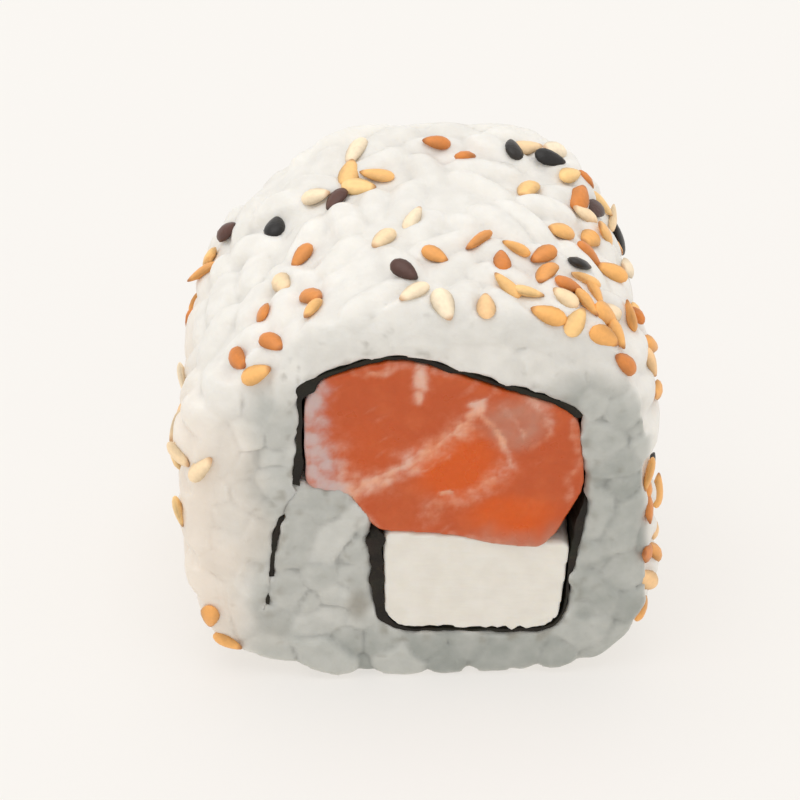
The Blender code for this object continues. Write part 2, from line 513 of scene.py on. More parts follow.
def outside_radius(angle, y):
    """The radius of the rice's outside at any angle and any place along the roll."""
    spoke = (angle % math.tau) / math.tau * SPOKES
    low = np.floor(spoke).astype(int) % SPOKES
    part = spoke - np.floor(spoke)
    place = np.clip((y - STATIONS[0]) / (STATIONS[1] - STATIONS[0]), 0, len(STATIONS) - 1.001)
    row = place.astype(int)
    step = place - row
    high = (low + 1) % SPOKES
    near = RADII[row, low] * (1 - part) + RADII[row, high] * part
    far = RADII[row + 1, low] * (1 - part) + RADII[row + 1, high] * part
    return near * (1 - step) + far * step


def depth_in_rice(points):
    """How far each point is under the rice's outside, and the way out from the axis."""
    x = points[..., 0] - ACROSS
    z = points[..., 2] - AXIS_UP
    radius = np.hypot(x, z) + 1e-9
    way_out = np.stack([x / radius, np.zeros_like(x), z / radius], -1)
    return SLANT * (outside_radius(np.arctan2(z, x), points[..., 1]) - radius), way_out


print("outside radius, mm:", (RADII.min() / MM).round(1), "to", (RADII.max() / MM).round(1))

# %% [markdown]
# ## Packing the rice
# Pressed sushi rice is not a bumpy surface: it is some six hundred plump grains that were
# squeezed until they touched all round. A noise texture never looks like that, so the grains are
# really packed here. Each one is a chain of four balls. They start at random, and then push one
# another apart, and the roll's outside and the channel push them back into the ring, a little at
# a time over many rounds. A grain near the outside turns until it lies flat against it, as the
# rolling mat makes it do. The roll is packed a bit too long, and later cut to its length.

# %% Scatter the grains
GRAINS = 640
GRAIN_LENGTHS = (5.7, 7.1)  # shortest and longest, in mm
GRAIN_WIDTHS = (2.75, 3.3)
FROM_OUTSIDE = 1.3 * MM  # a grain's middle starts at least this deep under the skin
FROM_CHANNEL = 0.9 * MM
BEYOND = 3 * MM  # packed past each cut face
BALLS = np.array([-1.0, -0.34, 0.34, 1.0])
BALL_SIZES = np.array([0.8, 1.0, 1.0, 0.8])
chance = np.random.default_rng(11)

starts = []
while sum(len(some) for some in starts) < GRAINS:
    low_corner = (rice_low[0], -HALF - BEYOND, 0)
    high_corner = (rice_high[0], HALF + BEYOND, rice_high[2])
    some = chance.uniform(low_corner, high_corner, (4000, 3))
    fits = depth_in_rice(some)[0] > FROM_OUTSIDE
    fits &= to_outline(some[:, [0, 2]], channel)[1] > FROM_CHANNEL
    starts.append(some[fits])
centre = np.concatenate(starts)[:GRAINS]
axis = chance.normal(size=(GRAINS, 3))
axis /= np.linalg.norm(axis, axis=1, keepdims=True)
length = chance.uniform(*GRAIN_LENGTHS, GRAINS) * MM
thickness = chance.uniform(*GRAIN_WIDTHS, GRAINS) * MM
reach = (length - thickness) / 2
ball_radius = thickness[:, None] / 2 * BALL_SIZES
print("grains:", GRAINS)


# %% Push them apart
PRESSED = 0.87  # touching balls may come to this share of the sum of their radii
ROUNDS = 110
LOOK_AGAIN = 6  # rounds between two searches for neighbours
MIDDLES_NEAR = 8 * MM
BALLS_NEAR = 4 * MM


def neighbours(balls):
    """Pairs of grains that could touch during the next few rounds."""
    gaps = np.linalg.norm(centre[:, None] - centre[None], axis=2)
    first, second = np.where(np.triu(gaps < MIDDLES_NEAR, 1))
    between = balls[first][:, :, None] - balls[second][:, None, :]
    close = np.linalg.norm(between, axis=3).min((1, 2)) < BALLS_NEAR
    return first[close], second[close]


for turn in range(ROUNDS):
    balls = centre[:, None] + axis[:, None] * (BALLS[None, :, None] * reach[:, None, None])
    if turn % LOOK_AGAIN == 0:
        first, second = neighbours(balls)
    between = balls[first][:, :, None] - balls[second][:, None, :]
    distance = np.linalg.norm(between, axis=3) + 1e-9
    wanted = (ball_radius[first][:, :, None] + ball_radius[second][:, None, :]) * PRESSED
    overlap = np.maximum(wanted - distance, 0)
    push = between / distance[..., None] * overlap[..., None] * 0.5
    force = np.zeros_like(balls)
    for k in range(3):
        for ball in range(4):
            force[:, ball, k] += np.bincount(first, push[:, ball, :, k].sum(1), GRAINS)
            force[:, ball, k] -= np.bincount(second, push[:, :, ball, k].sum(1), GRAINS)
    depth, way_out = depth_in_rice(balls)
    force -= way_out * np.maximum(ball_radius - depth, 0)[..., None]
    flat = balls[..., [0, 2]].reshape(-1, 2)
    wall, gap = to_outline(flat, channel)
    away_from_wall = (flat - wall) / np.maximum(np.abs(gap), 1e-9)[:, None] * np.sign(gap)[:, None]
    away_from_wall *= np.maximum(ball_radius.reshape(-1) * 0.8 - gap, 0)[:, None]
    force[..., 0] += away_from_wall[:, 0].reshape(GRAINS, 4)
    force[..., 2] += away_from_wall[:, 1].reshape(GRAINS, 4)
    past = np.abs(balls[..., 1]) - (HALF + BEYOND)
    force[..., 1] -= np.sign(balls[..., 1]) * np.maximum(past, 0)
    centre += force.mean(1) * 1.2
    axis += (force * BALLS[None, :, None]).sum(1) / (reach[:, None] * (BALLS**2).sum()) * 0.9
    depth, way_out = depth_in_rice(centre)
    flatten = ramp(depth, 3.2 * MM, 1.4 * MM) * 0.25
    axis -= way_out * ((axis * way_out).sum(1) * flatten)[:, None]
    axis /= np.linalg.norm(axis, axis=1, keepdims=True)

print("overlap left, mm a grain:", (overlap.sum() / GRAINS / MM).round(2))

# %% [markdown]
# ## From balls to grains
# A Geometry Nodes recipe turns every packed place into a grain. It makes one grain shape from an
# ico sphere (fuller towards its ends, slightly bent), puts a copy on every point, turned and
# sized by the point's own attributes, and realises the copies as real mesh. Changing the named
# inputs changes every grain at once.

# %% A recipe helper
class Recipe(Tree):
    """A Geometry Nodes tree with named inputs, run once on a mesh."""

    def __init__(self, name, **inputs):
        tree = bpy.data.node_groups.new(name, "GeometryNodeTree")
        super().__init__(tree)
        sides = {"in_out": "INPUT", "socket_type": "NodeSocketGeometry"}
        tree.interface.new_socket("Geometry", **sides)
        self.keys = {}
        for label, value in inputs.items():
            kind = "NodeSocketInt" if isinstance(value, int) else "NodeSocketFloat"
            socket = tree.interface.new_socket(label, in_out="INPUT", socket_type=kind)
            self.keys[socket.identifier] = value
        tree.interface.new_socket("Geometry", in_out="OUTPUT", socket_type="NodeSocketGeometry")
        self.entry = tree.nodes.new("NodeGroupInput")
        self.exit = tree.nodes.new("NodeGroupOutput")

    def given(self, label):
        return Wire(self, self.entry.outputs[label])

    def place_parts(self):
        """The x, y and z of each point of the shape."""
        place = self.node("GeometryNodeInputPosition")
        parts = self.node("ShaderNodeSeparateXYZ", {}, {0: place}).socket.node
        return [Wire(self, socket) for socket in parts.outputs]

    def moved(self, shape, x, y, z):
        """The shape with its points at these places."""
        place = self.node("ShaderNodeCombineXYZ", {}, {0: x, 1: y, 2: z})
        return self.node("GeometryNodeSetPosition", {}, {"Geometry": shape, "Position": place})

    def copies(self, shape):
        """A copy of the shape on every point, turned and sized by the point's attributes."""
        vector = {"data_type": "FLOAT_VECTOR"}
        turn = self.node("GeometryNodeInputNamedAttribute", vector, {0: "turn"})
        size = self.node("GeometryNodeInputNamedAttribute", vector, {0: "size"})
        points = Wire(self, self.entry.outputs[0])
        inputs = {"Points": points, "Instance": shape, "Rotation": turn, "Scale": size}
        return self.node("GeometryNodeInstanceOnPoints", {}, inputs)

    def finish(self, geometry, material):
        """Real mesh instead of copies, in its material."""
        real = self.node("GeometryNodeRealizeInstances", {}, {0: geometry})
        done = self.node("GeometryNodeSetMaterial", {}, {"Geometry": real, "Material": material})
        self.feed(self.exit.inputs[0], done)

    def run(self, mesh):
        item = bpy.data.objects.new(mesh.name, mesh)
        scene.collection.objects.link(item)
        modifier = item.modifiers.new("recipe", "NODES")
        modifier.node_group = self.tree
        for key, value in self.keys.items():
            modifier[key] = value
        return rebuilt(item)


def point_cloud(name, places, **vectors):
    """A mesh of loose points, with a vector attribute for each name given."""
    mesh = bpy.data.meshes.new(name)
    mesh.from_pydata([tuple(p) for p in places], [], [])
    for label, values in vectors.items():
        layer = mesh.attributes.new(label, "FLOAT_VECTOR", "POINT")
        layer.data.foreach_set("vector", np.asarray(values, dtype=np.float32).reshape(-1))
    return mesh


# %% The finish of the rice
pearly_rice = Finish(
    "pearly_rice",
    ior=1.42,
    subsurface_weight=0.35,
    subsurface_radius=(1.0, 0.92, 0.78),
    subsurface_scale=1.1 * MM,
)
starch = pearly_rice.cloud(1.6 * MM, 2)
film = pearly_rice.cloud(0.35 * MM, 3)
grain_tone = pearly_rice.attribute("tone")
crease_shade = pearly_rice.attribute("crease_shade")
cut_grey_and_shade = pearly_rice.attribute("cut")
seaweed_stain = pearly_rice.attribute("stain")
warm_side = pearly_rice.attribute("warm")
milky = starch.step(0.35, 0.7)
outer_white = pearly_rice.colour(milky, rgb(0.82, 0.79, 0.735), rgb(0.87, 0.84, 0.785))
pale_part = (grain_tone * 0.55 + starch * 0.8 - 0.15).step(0.0, 1.0)
# the grey of the moist inside of cut grains, also used as painted shade on the upright cut face
wet_grey_and_shade = pearly_rice.colour(pale_part, rgb(0.33, 0.345, 0.315), rgb(0.54, 0.54, 0.50))
rice_colour = pearly_rice.colour(cut_grey_and_shade, outer_white, wet_grey_and_shade)
# painted shade: the colour is darkened in creases and hollows between grains, more on the cut faces; the
# rest is each grain's own tone
tone_and_painted_shade = 1.0 + (grain_tone - 0.5) * 0.08 - crease_shade * (0.2 + cut_grey_and_shade * 0.06)
rice_colour = pearly_rice.dim(rice_colour, tone_and_painted_shade)
rice_colour = pearly_rice.colour(seaweed_stain, rice_colour, rgb(0.22, 0.19, 0.14))
# the left flank's rice is tinted a warmer beige
rice_colour = pearly_rice.colour(warm_side * 0.45, rice_colour, rgb(0.90, 0.74, 0.59))
pearly_rice.set("Base Color", rice_colour)
pearly_rice.set("Roughness", 0.34 + starch * 0.16)
pearly_rice.set("Normal", pearly_rice.bump(film, 0.05 * MM))

# %% Make the grains
grain_recipe = Recipe("rice_grains", Detail=3, Fullness=0.5, Bend=0.22, Flatness=0.93)
detail = {"Subdivisions": grain_recipe.given("Detail")}
ball = grain_recipe.node("GeometryNodeMeshIcoSphere", {}, detail)
along, side, up = grain_recipe.place_parts()
square = along * along
fuller = 1 + square * (1 - square) * grain_recipe.given("Fullness")
bent = side * fuller + (square - 0.4) * grain_recipe.given("Bend")
plump = grain_recipe.moved(ball, along, bent, up * fuller * grain_recipe.given("Flatness"))
grain_recipe.finish(grain_recipe.copies(plump), pearly_rice.material)

rolls = chance.uniform(0, math.tau, GRAINS)
turns = []
for direction, roll in zip(axis, rolls):
    aim = Vector(direction).to_track_quat("X", "Z") @ Quaternion((1, 0, 0), roll)
    turns.append(tuple(aim.to_euler()))
FILLED_OUT = 1.06  # a grain swells a little past the balls that it was packed as
half_thick = thickness / 2 * FILLED_OUT
sizes = np.stack([length / 2, half_thick, half_thick], 1)
grains = grain_recipe.run(point_cloud("grains", centre, turn=turns, size=sizes))
print("grain faces:", len(grains.polygons))

# %% [markdown]
# ## The knife
# A knife goes through whole grains, so the grains that cross a cut face are cut flat there and
# closed. After that each cut face is moved in or out by about a tenth of a millimetre, since soft
# grains never stay quite level behind a blade.

# %% Slice the ends
CUT_STEP = 0.10 * MM  # how far a cut grain stands in or out


def sliced(mesh, y, facing):
    """Cut the grains off at y, close them, and return how many were cut."""
    shell = bmesh.new()
    shell.from_mesh(mesh)
    parts = shell.verts[:] + shell.edges[:] + shell.faces[:]
    bmesh.ops.bisect_plane(
        shell, geom=parts, dist=1e-6, plane_co=(0, y, 0), plane_no=(0, facing, 0), clear_outer=True
    )
    rim_edges = [edge for edge in shell.edges if edge.is_boundary]
    caps = bmesh.ops.holes_fill(shell, edges=rim_edges, sides=0)["faces"]
    for cap in caps:
        shift = chance.normal(0, CUT_STEP)
        for corner in cap.verts:
            corner.co.y += shift
    bmesh.ops.triangulate(shell, faces=caps)
    shell.to_mesh(mesh)
    shell.free()
    return len(caps)


print("cut grains:", sliced(grains, HALF, 1), sliced(grains, -HALF, -1))

# %% [markdown]
# ## Fusing the grains over a core
# The gaps between pressed grains are shallow, because more rice lies behind them. So the CAD
# solid, drawn in by less than a millimetre, stands inside the grains as a core. The Remesh
# modifier then wraps core and grains in one even skin, and a little smoothing rounds the creases
# as moist starch does.

# %% The core
CORE_VOXEL = 0.4 * MM
CORE_INSET = 0.75 * MM
WALL_OUTSET = 0.25 * MM  # towards the seaweed
END_INSET = 0.30 * MM

core = even_skin(merged_copy("rice"), CORE_VOXEL)
points = points_of(core)
gap = to_outline(points[:, [0, 2]], channel)[1]
inset = np.where(gap < 0.5 * MM, -WALL_OUTSET, CORE_INSET)
at_end = np.abs(points[:, 1]) > HALF - 0.3 * MM
points -= normals_of(core) * inset[:, None] * (1 - at_end)[:, None]
at_end |= np.abs(points[:, 1]) > HALF - END_INSET
end_depth = END_INSET * ramp(gap, 0.4 * MM, 1.6 * MM)
points[at_end, 1] = (np.sign(points[:, 1]) * (HALF - end_depth))[at_end]
move_points(core, points)

# %% Fuse and soften
RICE_VOXEL = 0.275 * MM
SMOOTHINGS = 5

joined = bmesh.new()
joined.from_mesh(grains)
joined.from_mesh(core)
fused = bpy.data.meshes.new("rice_pressed")
joined.to_mesh(fused)
joined.free()
fused_item = bpy.data.objects.new("rice_pressed", fused)
scene.collection.objects.link(fused_item)
rice_mesh = even_skin(fused_item, RICE_VOXEL, SMOOTHINGS)
print("rice squares:", len(rice_mesh.polygons))

# %% [markdown]
# The rice was pressed by a mat, so no grain stands far out of the roll: what is outside the CAD
# outline is squeezed back to under half its height. At the cut faces, soft rice has crept over
# the seaweed's edge: a little nearly everywhere, and altogether in a few stretches. Nothing goes
# below the floor.

# %% Where rice has closed over the seaweed's cut edge
def buried(points):
    """The share of the tail, and of the stretches where rice hides the seaweed's edge."""
    x, z = on_section(points)
    tail = ramp(17.4 - z, 0, 1.5) * ramp(-9.6 - x, 0, 0.5)
    right = ramp(x, 10.2, 11.0) * ramp(z, 15.6, 17.0) * ramp(24.0 - z, 0, 1.4)
    notch = ramp(x, -7.6, -6.8) * ramp(-3.6 - x, 0, 0.5) * ramp(z, 13.6, 14.2)
    notch *= ramp(18.0 - z, 0, 0.4)
    tail_top = ramp(18.3 - z, 0, 0.6) * ramp(z, 15.0, 15.6) * ramp(-9.4 - x, 0, 0.4)
    return tail, np.maximum(np.maximum(right, notch), tail_top)


# Folds of wet seaweed that push out into the rice: across, up, how far and over what size, in mm
BULGES = ((-9.1, 26.7, 0.56, 0.85), (-4.7, 12.2, 0.45, 1.5), (-4.6, 9.0, 0.20, 1.5))


def pushed_out(points):
    """How far, in mm, the seaweed bulges outwards at these points."""
    x, z = on_section(points)
    return sum(amount * spot(x, z, across, up, size) for across, up, amount, size in BULGES)


def edge_covered(points):
    """How far, in mm, rice has closed over the seaweed's edge; on the tail it comes and goes."""
    tail, hidden = buried(points)
    across = points[:, 0] - FACE_ZERO
    right_foot = ramp(across, 8.6 * MM, 9.4 * MM) * ramp(11 * MM - points[:, 2], 0, MM)
    places = points * np.array([1, 0, 1]) + np.array([0, 0.02, 0]) * (points[:, 1:2] > 0)
    come_and_go = ramp(wander(places, 1.4 * MM, 8.0), -0.25, 0.3)
    return (0.22 * tail + 0.2 * right_foot) * come_and_go + 0.5 * hidden


# %% Soften the rim
def soft_rim(points):
    """Round the edge between the roll's outside and its cut faces, more on the left."""
    depth, way_out = depth_in_rice(points)
    behind = HALF - np.abs(points[:, 1])
    left_side = ramp(FACE_ZERO - points[:, 0], 8 * MM, 15 * MM)
    size = 1.9 + 0.8 * wander(points, 5 * MM, 6.0) + 1.0 * left_side
    size += np.where(points[:, 1] > 0, -0.7, 0.5) * ramp(points[:, 2], 24 * MM, 30 * MM)
    size *= MM * ramp(points[:, 2], 0.5 * MM, 3 * MM) + 1e-6
    a = np.clip(size - depth, 0, None) / size
    b = np.clip(size - behind, 0, None) / size
    round_off = np.hypot(a, b)
    over = (a > 0) & (b > 0) & (round_off > 1)
    shrink = np.where(over, 1 / (1 + 0.75 * (round_off - 1)), 1)
    points = points - way_out * (size * a * (1 - shrink))[:, None]
    points[:, 1] -= np.sign(points[:, 1]) * size * b * (1 - shrink)
    return points


# %% Press the skin
SQUEEZE = 0.55  # the share of its height that a grain loses outside the outline
OPENED = 1.6  # the rice gives way by more than the seaweed bulges


def pressed(points):
    """The points of the rice after the mat and after the knife."""
    depth, way_out = depth_in_rice(points)
    proud = np.maximum(-depth, 0)
    points = points - way_out * (proud * SQUEEZE)[:, None]
    points = soft_rim(points)
    wall, gap = to_outline(points[:, [0, 2]], channel)
    inward = (wall - points[:, [0, 2]]) / np.where(gap == 0, 1, gap)[:, None]
    near_face = ramp(np.abs(points[:, 1]), HALF - 1.3 * MM, HALF - 0.5 * MM)
    lip = 0.14 + 0.16 * wander(points * np.array([1, 0.3, 1]), 0.9 * MM, 12.0)
    lip *= 1 - 0.7 * buried(points)[0]
    closing = (edge_covered(points) + lip - pushed_out(points) * OPENED) * near_face
    closing *= MM * (1 - ramp(gap, 0.2 * MM, 1.2 * MM))
    too_far = np.maximum(-0.25 * MM - gap, 0)
    points[:, [0, 2]] += inward * (closing - too_far)[:, None]
    points[:, 2] = np.maximum(points[:, 2], 0)
    points[:, 1] = np.clip(points[:, 1], -HALF - 0.2 * MM, HALF + 0.2 * MM)
    return points


move_points(rice_mesh, pressed(points_of(rice_mesh)))

# %% [markdown]
# ## Relief on the cut faces
# Behind the knife, each cut grain swells a little and stands out from its neighbours, and the
# seams between them sink. The formula that tells how well a point fits into a grain also says
# which grain is the next best, so a seam is where the two fit equally well.

# %% Which grain is this
def grain_at(points):
    """For each point: its grain, and 1 on the seam between two grains, 0 well inside one."""
    own = np.empty(len(points), dtype=int)
    seam = np.empty(len(points))
    for start in range(0, len(points), 3000):
        some = points[start : start + 3000]
        gaps = some[:, None].astype(np.float32) - centre[None].astype(np.float32)
        forward = np.einsum("pgk,gk->pg", gaps, axis.astype(np.float32))
        sideways = (gaps**2).sum(-1) - forward**2
        fit = np.abs(forward / (length / 2)) ** 3 + sideways / (thickness / 2) ** 2
        best = np.argpartition(fit, 1, axis=1)[:, :2]
        pair = np.take_along_axis(fit, best, 1)
        order = pair.argsort(1)
        best = np.take_along_axis(best, order, 1)
        pair = np.take_along_axis(pair, order, 1)
        own[start : start + 3000] = best[:, 0]
        seam[start : start + 3000] = 1 - ramp(np.sqrt(pair[:, 1]) - np.sqrt(pair[:, 0]), 0, 0.26)
    return own, seam


# %% Carve the seams
SEAM_DEPTH = 0.42  # mm


def on_cut_face(mesh, points, edges):
    """1 on the flat of the cut faces, fading out over the rim."""
    flat = ramp(np.abs(points[:, 1]), HALF - 1.6 * MM, HALF - 0.6 * MM)
    flat *= np.abs(normals_of(mesh)[:, 1]) > 0.4
    return averaged(flat, edges, 3, len(points))


points = points_of(rice_mesh)
edges = edges_of(rice_mesh)
flat_end = on_cut_face(rice_mesh, points, edges)
on_face = np.where(flat_end > 0.01)[0]
own, seam = grain_at(points[on_face])
step_out = chance.normal(0, 0.11, GRAINS)
depth_map = np.zeros(len(points))
faint = 0.6 + 0.7 * wander(points[on_face], 2.2 * MM, 17.0)
faint *= 1 - 0.7 * ramp(points[on_face, 2], 25 * MM, 28 * MM)
depth_map[on_face] = seam * SEAM_DEPTH * np.clip(faint, 0.05, 1.1) + step_out[own]
depth_map = averaged(depth_map, edges, 2, len(points))
gap = to_outline(points[:, [0, 2]], channel)[1]
depth_map *= flat_end * (0.25 + 0.75 * ramp(gap, 0, 1.0 * MM))
points[:, 1] -= np.sign(points[:, 1]) * depth_map * MM
move_points(rice_mesh, points)
print("deepest seam, mm:", depth_map.max().round(2))

# %% [markdown]
# ## Fewer triangles where nobody looks
# The channel's wall is hidden behind the seaweed. A vertex group lets the Decimate modifier take
# most of its triangles from there, and the visible grains keep theirs.

# %% Thin out the hidden wall
RICE_TRIANGLES = 196000

rice_item = bpy.data.objects.new("rice_thinned", rice_mesh)
scene.collection.objects.link(rice_item)
places = points_of(rice_mesh)
gap = to_outline(places[:, [0, 2]], channel)[1]
hidden = (gap < 0.8 * MM) & (np.abs(places[:, 1]) < HALF - 1.5 * MM)
hidden |= places[:, 2] < 0.05 * MM
group = rice_item.vertex_groups.new(name="hidden")
group.add([int(i) for i in np.where(hidden)[0]], 1.0, "REPLACE")
group.add([int(i) for i in np.where(~hidden)[0]], 0.02, "REPLACE")
thin = rice_item.modifiers.new("thin", "DECIMATE")
thin.ratio = min(1.0, RICE_TRIANGLES / triangle_count(rice_mesh))
thin.vertex_group = "hidden"
thin.vertex_group_factor = 1.0
rice_mesh = rebuilt(rice_item)
rice_mesh.shade_smooth()
print("rice triangles:", triangle_count(rice_mesh))

# %% [markdown]
# ## Painting the rice
# Five numbers are stored on every point, and the finish reads them. `tone` differs from grain to
# grain. One number is painted shade: it is high in hollows and where two grains meet, and darkens
# the colour there. `cut` is high on the lower cut face, where the knife opened the moist, greyish
# inside of the grains; it is also painted shade, as it greys the whole upright cut face a little.
# `stain` marks rice that the seaweed has coloured, and `warm` tints the rice of the left flank a
# warmer beige.

# %% Tone of each grain
places = points_of(rice_mesh)
edges = edges_of(rice_mesh)
own, seam = grain_at(places)
grain_tones = chance.uniform(0, 1, GRAINS)
tone = averaged(grain_tones[own], edges, 3, len(places))
print("grains that show:", len(set(own)))

# %% Painted shade in creases and on cut faces, and stains
gap = to_outline(places[:, [0, 2]], channel)[1]
flat_end = on_cut_face(rice_mesh, places, edges)
smooth_places = averaged(places, edges, 14, len(places))
sunk = ((smooth_places - places) * normals_of(rice_mesh)).sum(1)
height = places[:, 2]
low_part = 1 - ramp(height + wander(places, 5 * MM) * 1.5 * MM, 24 * MM, 29 * MM)
across = places[:, 0] - FACE_ZERO
low_right = np.maximum(ramp(across, 9 * MM, 12 * MM), ramp(6 * MM - height, 0, 3 * MM))
low_part *= 0.74 + 0.26 * low_right
outer_left = ramp(wander(places, 3 * MM, 2.5) * MM - across, 12.6 * MM, 14.6 * MM)
# painted shade: the floor of 0.17 greys the whole upright cut face, which gets less light than the top;
# above it, the moist grey inside of cut grains, greyest low down and on the right
cut = flat_end * np.maximum(low_part, 0.17) * (1 - 0.62 * outer_left)

seam = averaged(seam, edges, 1, len(places))
seam *= np.clip(0.45 + 0.9 * wander(places, 1.8 * MM, 17.0), 0, 1)
# painted shade: hollows sunk under their smoothed neighbours and seams between grains get a share that
# darkens the colour
crease_shade_share = np.clip(ramp(sunk, 0.02 * MM, 0.22 * MM) + seam * (0.08 + 0.5 * cut), 0, 1)
near_seaweed = 1 - ramp(gap, 0.1 * MM, 0.9 * MM)
patchy = ramp(wander(places, 1.1 * MM, 3.0), 0.1, 0.6)
stain = near_seaweed * patchy * 0.45
foot = np.hypot(across / MM + 5.4, (height / MM - 7.0) / 1.6)
stain = np.maximum(stain, flat_end * (1 - ramp(foot, 0.3, 1.3)) * 0.55)
specks = ramp(wander(places, 0.7 * MM, 9.5), 0.42, 0.75) * (1 - ramp(gap, 1.0 * MM, 5.0 * MM))
stain = np.maximum(stain, flat_end * specks * 0.35)

paint(rice_mesh, "tone", tone)
paint(rice_mesh, "crease_shade", crease_shade_share)
paint(rice_mesh, "cut", cut)
paint(rice_mesh, "stain", stain)
warm = ramp(wander(places, 4 * MM, 5.5) * 2.5 * MM - across, 12.0 * MM, 16.5 * MM)
paint(rice_mesh, "warm", warm * ramp(26 * MM - height, 0, 6 * MM))
print("crease mean:", crease_shade_share.mean().round(3), "cut points:", int((cut > 0.5).sum()))

# %% [markdown]
# ## Handing over the rice
# Each finished piece gets its one material, rides on the frame's body, and takes the place of its
# CAD node, which is hidden, if it has one.

# %% Hand over
def hand_over(name, mesh, finish, slot, *replaced):
    """Make the finished mesh a piece on the frame's body, and hide the CAD nodes that it replaces."""
    mesh.materials.clear()
    mesh.materials.append(finish.material)
    piece = bpy.data.objects.new(name, mesh)
    scene.collection.objects.link(piece)
    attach(piece, "root")
    if replaced:
        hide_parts(*replaced)
    return piece


rice = hand_over("pressed_rice", rice_mesh, pearly_rice, "rice", "rice")

# %% [markdown]
# ## Salmon
# The salmon is one slab that runs right through the roll. On its cut face, deep orange flakes of
# muscle are parted by thin pale sheets of fat, and its belly end is nearly all fat. The slab is
# the CAD solid with a fine even skin, let out until it touches the seaweed. The flakes bulge
# between the fat lines, because fat gives way to a knife and muscle springs back.

# %% The finish of the salmon
raw_salmon = Finish(
    "raw_salmon",
    ior=1.4,
    subsurface_weight=0.3,
    subsurface_radius=(1.0, 0.42, 0.25),
    subsurface_scale=0.9 * MM,
)
# the fat mask also holds two small painted highlights, glints of wet fish
fat = raw_salmon.attribute("fat")
bright = raw_salmon.attribute("bright")
blush = raw_salmon.attribute("blush")
fibres = raw_salmon.cloud(0.5 * MM, 4, 0.6, raw_salmon.stretched(1.0, 3.0, 1.0))
blotches = raw_salmon.cloud(2.2 * MM, 3)
muscle = raw_salmon.colour(bright, rgb(0.54, 0.092, 0.018), rgb(0.67, 0.100, 0.004))
muscle = raw_salmon.colour(blotches.step(0.45, 0.75) * 0.25, muscle, rgb(0.70, 0.17, 0.05))
muscle = raw_salmon.colour(blush * 0.75, muscle, rgb(0.53, 0.25, 0.17))
muscle = raw_salmon.dim(muscle, 0.92 + fibres * 0.16)
skin_side = raw_salmon.attribute("skin")
pale_fat_and_glint = raw_salmon.colour(blotches.step(0.3, 0.7), rgb(0.86, 0.43, 0.26), rgb(0.78, 0.50, 0.40))
pale_fat_and_glint = raw_salmon.colour(skin_side, pale_fat_and_glint, rgb(0.60, 0.43, 0.40))
fat_and_glint_edge = (fat + (fibres - 0.5) * 0.3).step(0.05, 1.0)
raw_salmon.set("Base Color", raw_salmon.colour(fat_and_glint_edge, muscle, pale_fat_and_glint))
raw_salmon.set("Roughness", 0.22 + blotches * 0.14 + fat * 0.1)
raw_salmon.set("Normal", raw_salmon.bump(fibres, 0.06 * MM))

# %% Where the fat and two painted highlights lie
# Each line of fat, or of painted highlight: its strength, half width in mm, and its way over the cut
# face (across, up), mm
FAT_AND_GLINT_LINES = {
    "long band": (0.60, 1.40, [(-6.4, 17.2), (-3.9, 18.5), (-1.0, 20.0), (0.7, 21.6), (2.6, 23.2)]),
    "long band, core": (0.80, 0.42, [(-4.6, 18.3), (-1.0, 20.3), (0.9, 22.0), (2.9, 23.6), (4.2, 25.2)]),
    "long band, foot": (0.78, 0.90, [(-6.4, 16.9), (-4.6, 18.1), (-3.0, 18.5)]),
    "second streak": (0.45, 0.25, [(-2.6, 18.4), (0.2, 19.6), (1.6, 20.6)]),
    "branch": (0.72, 0.36, [(3.9, 25.3), (4.9, 22.6), (6.3, 20.7), (6.5, 19.4)]),
    "low veil": (0.44, 1.20, [(6.5, 19.8), (4.8, 18.1), (2.6, 17.0), (0.9, 16.4), (0.2, 15.0)]),
    "low veil, core": (0.50, 0.30, [(6.4, 19.6), (5.0, 18.4), (3.4, 17.6)]),
    "top wedge": (0.95, 0.50, [(-1.0, 28.8), (-0.9, 27.2), (-0.3, 25.6)]),
    # painted highlights: the next two lines are small whitish glints of wet fish, drawn in the fat's
    # colour
    "painted_glint": (0.95, 0.50, [(3.6, 25.2), (4.5, 25.5)]),
    "spot": (0.80, 0.28, [(1.0, 17.3), (1.5, 17.4)]),
    "far streak": (0.45, 0.35, [(5.6, 25.0), (6.6, 23.2), (7.4, 22.4)]),
    "skin side": (0.92, 1.70, [(-9.2, 27.0), (-8.9, 23.0), (-8.4, 19.2), (-7.0, 17.8)]),
    "skin side, inner": (0.62, 1.80, [(-7.6, 21.0), (-6.6, 18.8)]),
    "low left edge": (1.00, 0.45, [(-6.6, 17.4), (-5.4, 15.6), (-4.0, 13.9)]),
    "far corner": (0.55, 0.55, [(7.4, 26.0), (8.9, 24.2), (9.3, 22.3)]),
    "right edge": (0.42, 0.45, [(10.9, 23.5), (11.4, 20.0), (10.7, 16.5)]),
    "top edge": (0.45, 0.40, [(-5.6, 28.2), (-1.0, 29.0), (2.5, 27.9)]),
    "low edge": (0.40, 0.45, [(2.0, 13.4), (6.0, 12.9), (9.0, 12.6)]),
}


def line_share(x, z, route, half_width):
    """1 on the route and 0 beyond its half width, for points in mm."""
    nearest = np.full(len(x), 1e9)
    for (ax, az), (bx, bz) in zip(route, route[1:]):
        dx, dz = bx - ax, bz - az
        share = np.clip(((x - ax) * dx + (z - az) * dz) / (dx * dx + dz * dz), 0, 1)
        nearest = np.minimum(nearest, np.hypot(x - ax - share * dx, z - az - share * dz))
    core = 1 - ramp(nearest, 0, half_width * 1.3)
    halo = 1 - ramp(nearest, 0, half_width * 2.6)
    return 0.6 * core + 0.4 * halo


# %% Sculpt the salmon
SALMON_VOXEL = 0.2 * MM
DRIFT_ACROSS = 120  # mm for each metre back through the roll
DRIFT_UP = 45

salmon_mesh = even_skin(merged_copy("salmon"), SALMON_VOXEL)
points = points_of(salmon_mesh)
ways = normals_of(salmon_mesh)
